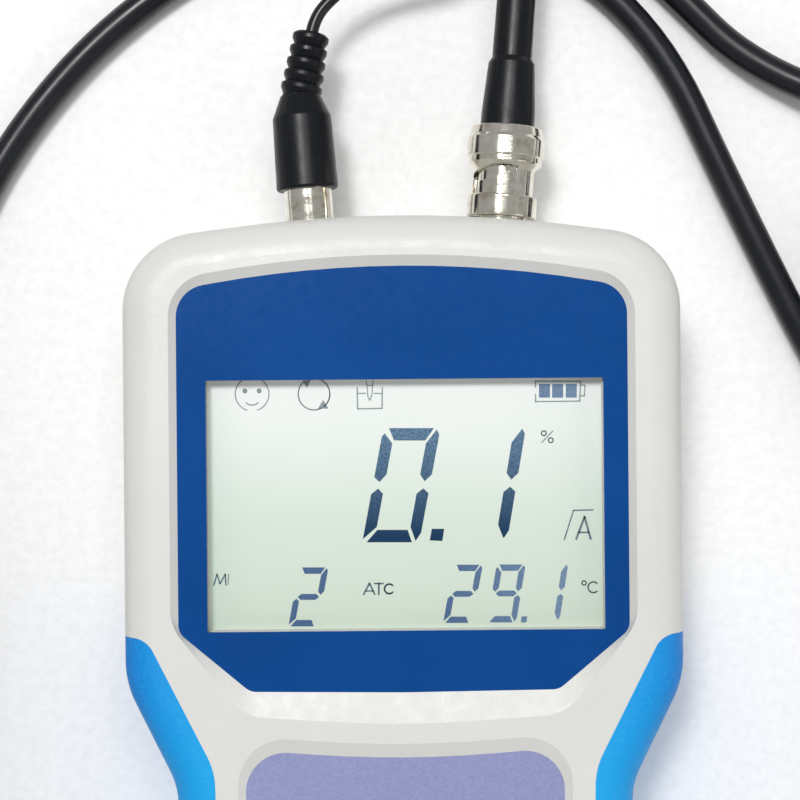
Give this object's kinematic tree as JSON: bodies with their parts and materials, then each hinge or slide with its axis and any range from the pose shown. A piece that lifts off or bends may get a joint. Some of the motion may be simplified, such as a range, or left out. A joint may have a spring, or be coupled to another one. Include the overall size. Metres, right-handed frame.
{
  "type": "dissolved oxygen meter",
  "caption": "Hand-held dissolved oxygen meter lying on its back: grey housing, blue grips, large LCD, six keys, BNC and cinch plugs, probe on a cable.",
  "frame": {"origin": "on the meter's flat back, under the middle of its housing", "axes": "+X to the right of the display as read, +Y along the meter towards the connectors, +Z out of the display"},
  "size_m": [0.2417, 0.2928, 0.035],
  "materials": {
    "housing_plastic": "satin",
    "grip_rubber": "matte",
    "panel_film": "matte",
    "window_clear": "gloss",
    "lcd_glass": "satin",
    "diffuser": "satin",
    "inner_plastic": "matte",
    "circuit_board": "satin",
    "component_black": "matte",
    "plated_steel": "satin",
    "overlay_film": "satin",
    "key_rubber": "matte",
    "battery_can": "gloss",
    "nickel_brass": "polished",
    "insulator_white": "satin",
    "gold_contact": "polished",
    "boot_plastic": "satin",
    "black_rubber": "matte",
    "cable_jacket": "gloss",
    "probe_plastic": "satin",
    "cap_plastic": "satin",
    "membrane_film": "satin",
    "silver_anode": "satin"
  },
  "bodies": {
    "meter": {"front_housing": "housing_plastic", "rear_housing": "housing_plastic", "housing_seal": "black_rubber", "grip_left": "grip_rubber", "grip_right": "grip_rubber", "display_panel": "panel_film", "display_window": "window_clear", "lcd_glass": "lcd_glass", "lcd_backlight": "diffuser", "lcd_frame": "inner_plastic", "zebra_strips": "key_rubber", "main_board": "circuit_board", "board_parts": "component_black", "snap_domes": "plated_steel", "board_screws": "plated_steel", "housing_screws": "plated_steel", "keypad_overlay": "overlay_film", "keypad_mat": "key_rubber", "battery_tray": "inner_plastic", "battery_1": "battery_can", "battery_2": "battery_can", "battery_3": "battery_can", "battery_4": "battery_can", "battery_contacts": "plated_steel", "bnc_jack": "nickel_brass", "bnc_jack_insulator": "insulator_white", "bnc_jack_contact": "gold_contact", "bnc_jack_nut": "nickel_brass", "bnc_plug_body": "nickel_brass", "bnc_plug_insulator": "insulator_white", "bnc_plug_pin": "gold_contact", "bnc_boot": "boot_plastic", "bnc_collar": "boot_plastic", "cable_stub": "cable_jacket", "cinch_jack": "nickel_brass", "cinch_jack_insulator": "component_black", "cinch_jack_nut": "nickel_brass", "cinch_plug_shell": "nickel_brass", "cinch_plug_pin": "nickel_brass", "cinch_plug_grip": "boot_plastic", "cable_junction": "boot_plastic", "probe_cable": "cable_jacket", "cable_coil": "cable_jacket", "cable_tail": "cable_jacket", "temperature_lead": "cable_jacket", "probe_strain_relief": "black_rubber", "probe_handle": "probe_plastic", "probe_stem": "probe_plastic", "membrane_cap": "cap_plastic", "probe_membrane": "membrane_film", "probe_electrodes": "silver_anode"},
    "key_power": {"key_power": "key_rubber"},
    "key_calibrate": {"key_calibrate": "key_rubber"},
    "key_mode": {"key_mode": "key_rubber"},
    "key_hold": {"key_hold": "key_rubber"},
    "key_up": {"key_up": "key_rubber"},
    "key_down": {"key_down": "key_rubber"},
    "battery_door": {"battery_door": "housing_plastic"},
    "washer_carrier": {"bnc_spring_washer": "plated_steel"},
    "coupling_nut": {"bnc_coupling_nut": "nickel_brass"}
  },
  "joints": [
    {"name": "key_power_press", "type": "slide", "parent": "meter", "child": "key_power", "axis": [0, 0, -1], "range_m": [0, 0.0006], "stiffness_N_per_m": 1500},
    {"name": "key_calibrate_press", "type": "slide", "parent": "meter", "child": "key_calibrate", "axis": [0, 0, -1], "range_m": [0, 0.0006], "stiffness_N_per_m": 1500},
    {"name": "key_mode_press", "type": "slide", "parent": "meter", "child": "key_mode", "axis": [0, 0, -1], "range_m": [0, 0.0006], "stiffness_N_per_m": 1500},
    {"name": "key_hold_press", "type": "slide", "parent": "meter", "child": "key_hold", "axis": [0, 0, -1], "range_m": [0, 0.0006], "stiffness_N_per_m": 1500},
    {"name": "key_up_press", "type": "slide", "parent": "meter", "child": "key_up", "axis": [0, 0, -1], "range_m": [0, 0.0006], "stiffness_N_per_m": 1500},
    {"name": "key_down_press", "type": "slide", "parent": "meter", "child": "key_down", "axis": [0, 0, -1], "range_m": [0, 0.0006], "stiffness_N_per_m": 1500},
    {"name": "battery_door_slide", "type": "slide", "parent": "meter", "child": "battery_door", "axis": [0, -1, 0], "range_m": [0, 0.06]},
    {"name": "coupling_nut_draw", "type": "slide", "parent": "meter", "child": "washer_carrier", "axis": [0.0785, 0.9969, 0], "range_m": [0, 0.0022]},
    {"name": "coupling_nut_turn", "type": "hinge", "parent": "washer_carrier", "child": "coupling_nut", "pos_m": [0.01883, 0.09426, 0.0142], "axis": [0.0785, 0.9969, 0], "range_deg": [0, 90]}
  ],
  "couplings": [
    {"joint": "coupling_nut_draw", "follows": "coupling_nut_turn", "m_per_rad": 0.0014006}
  ]
}
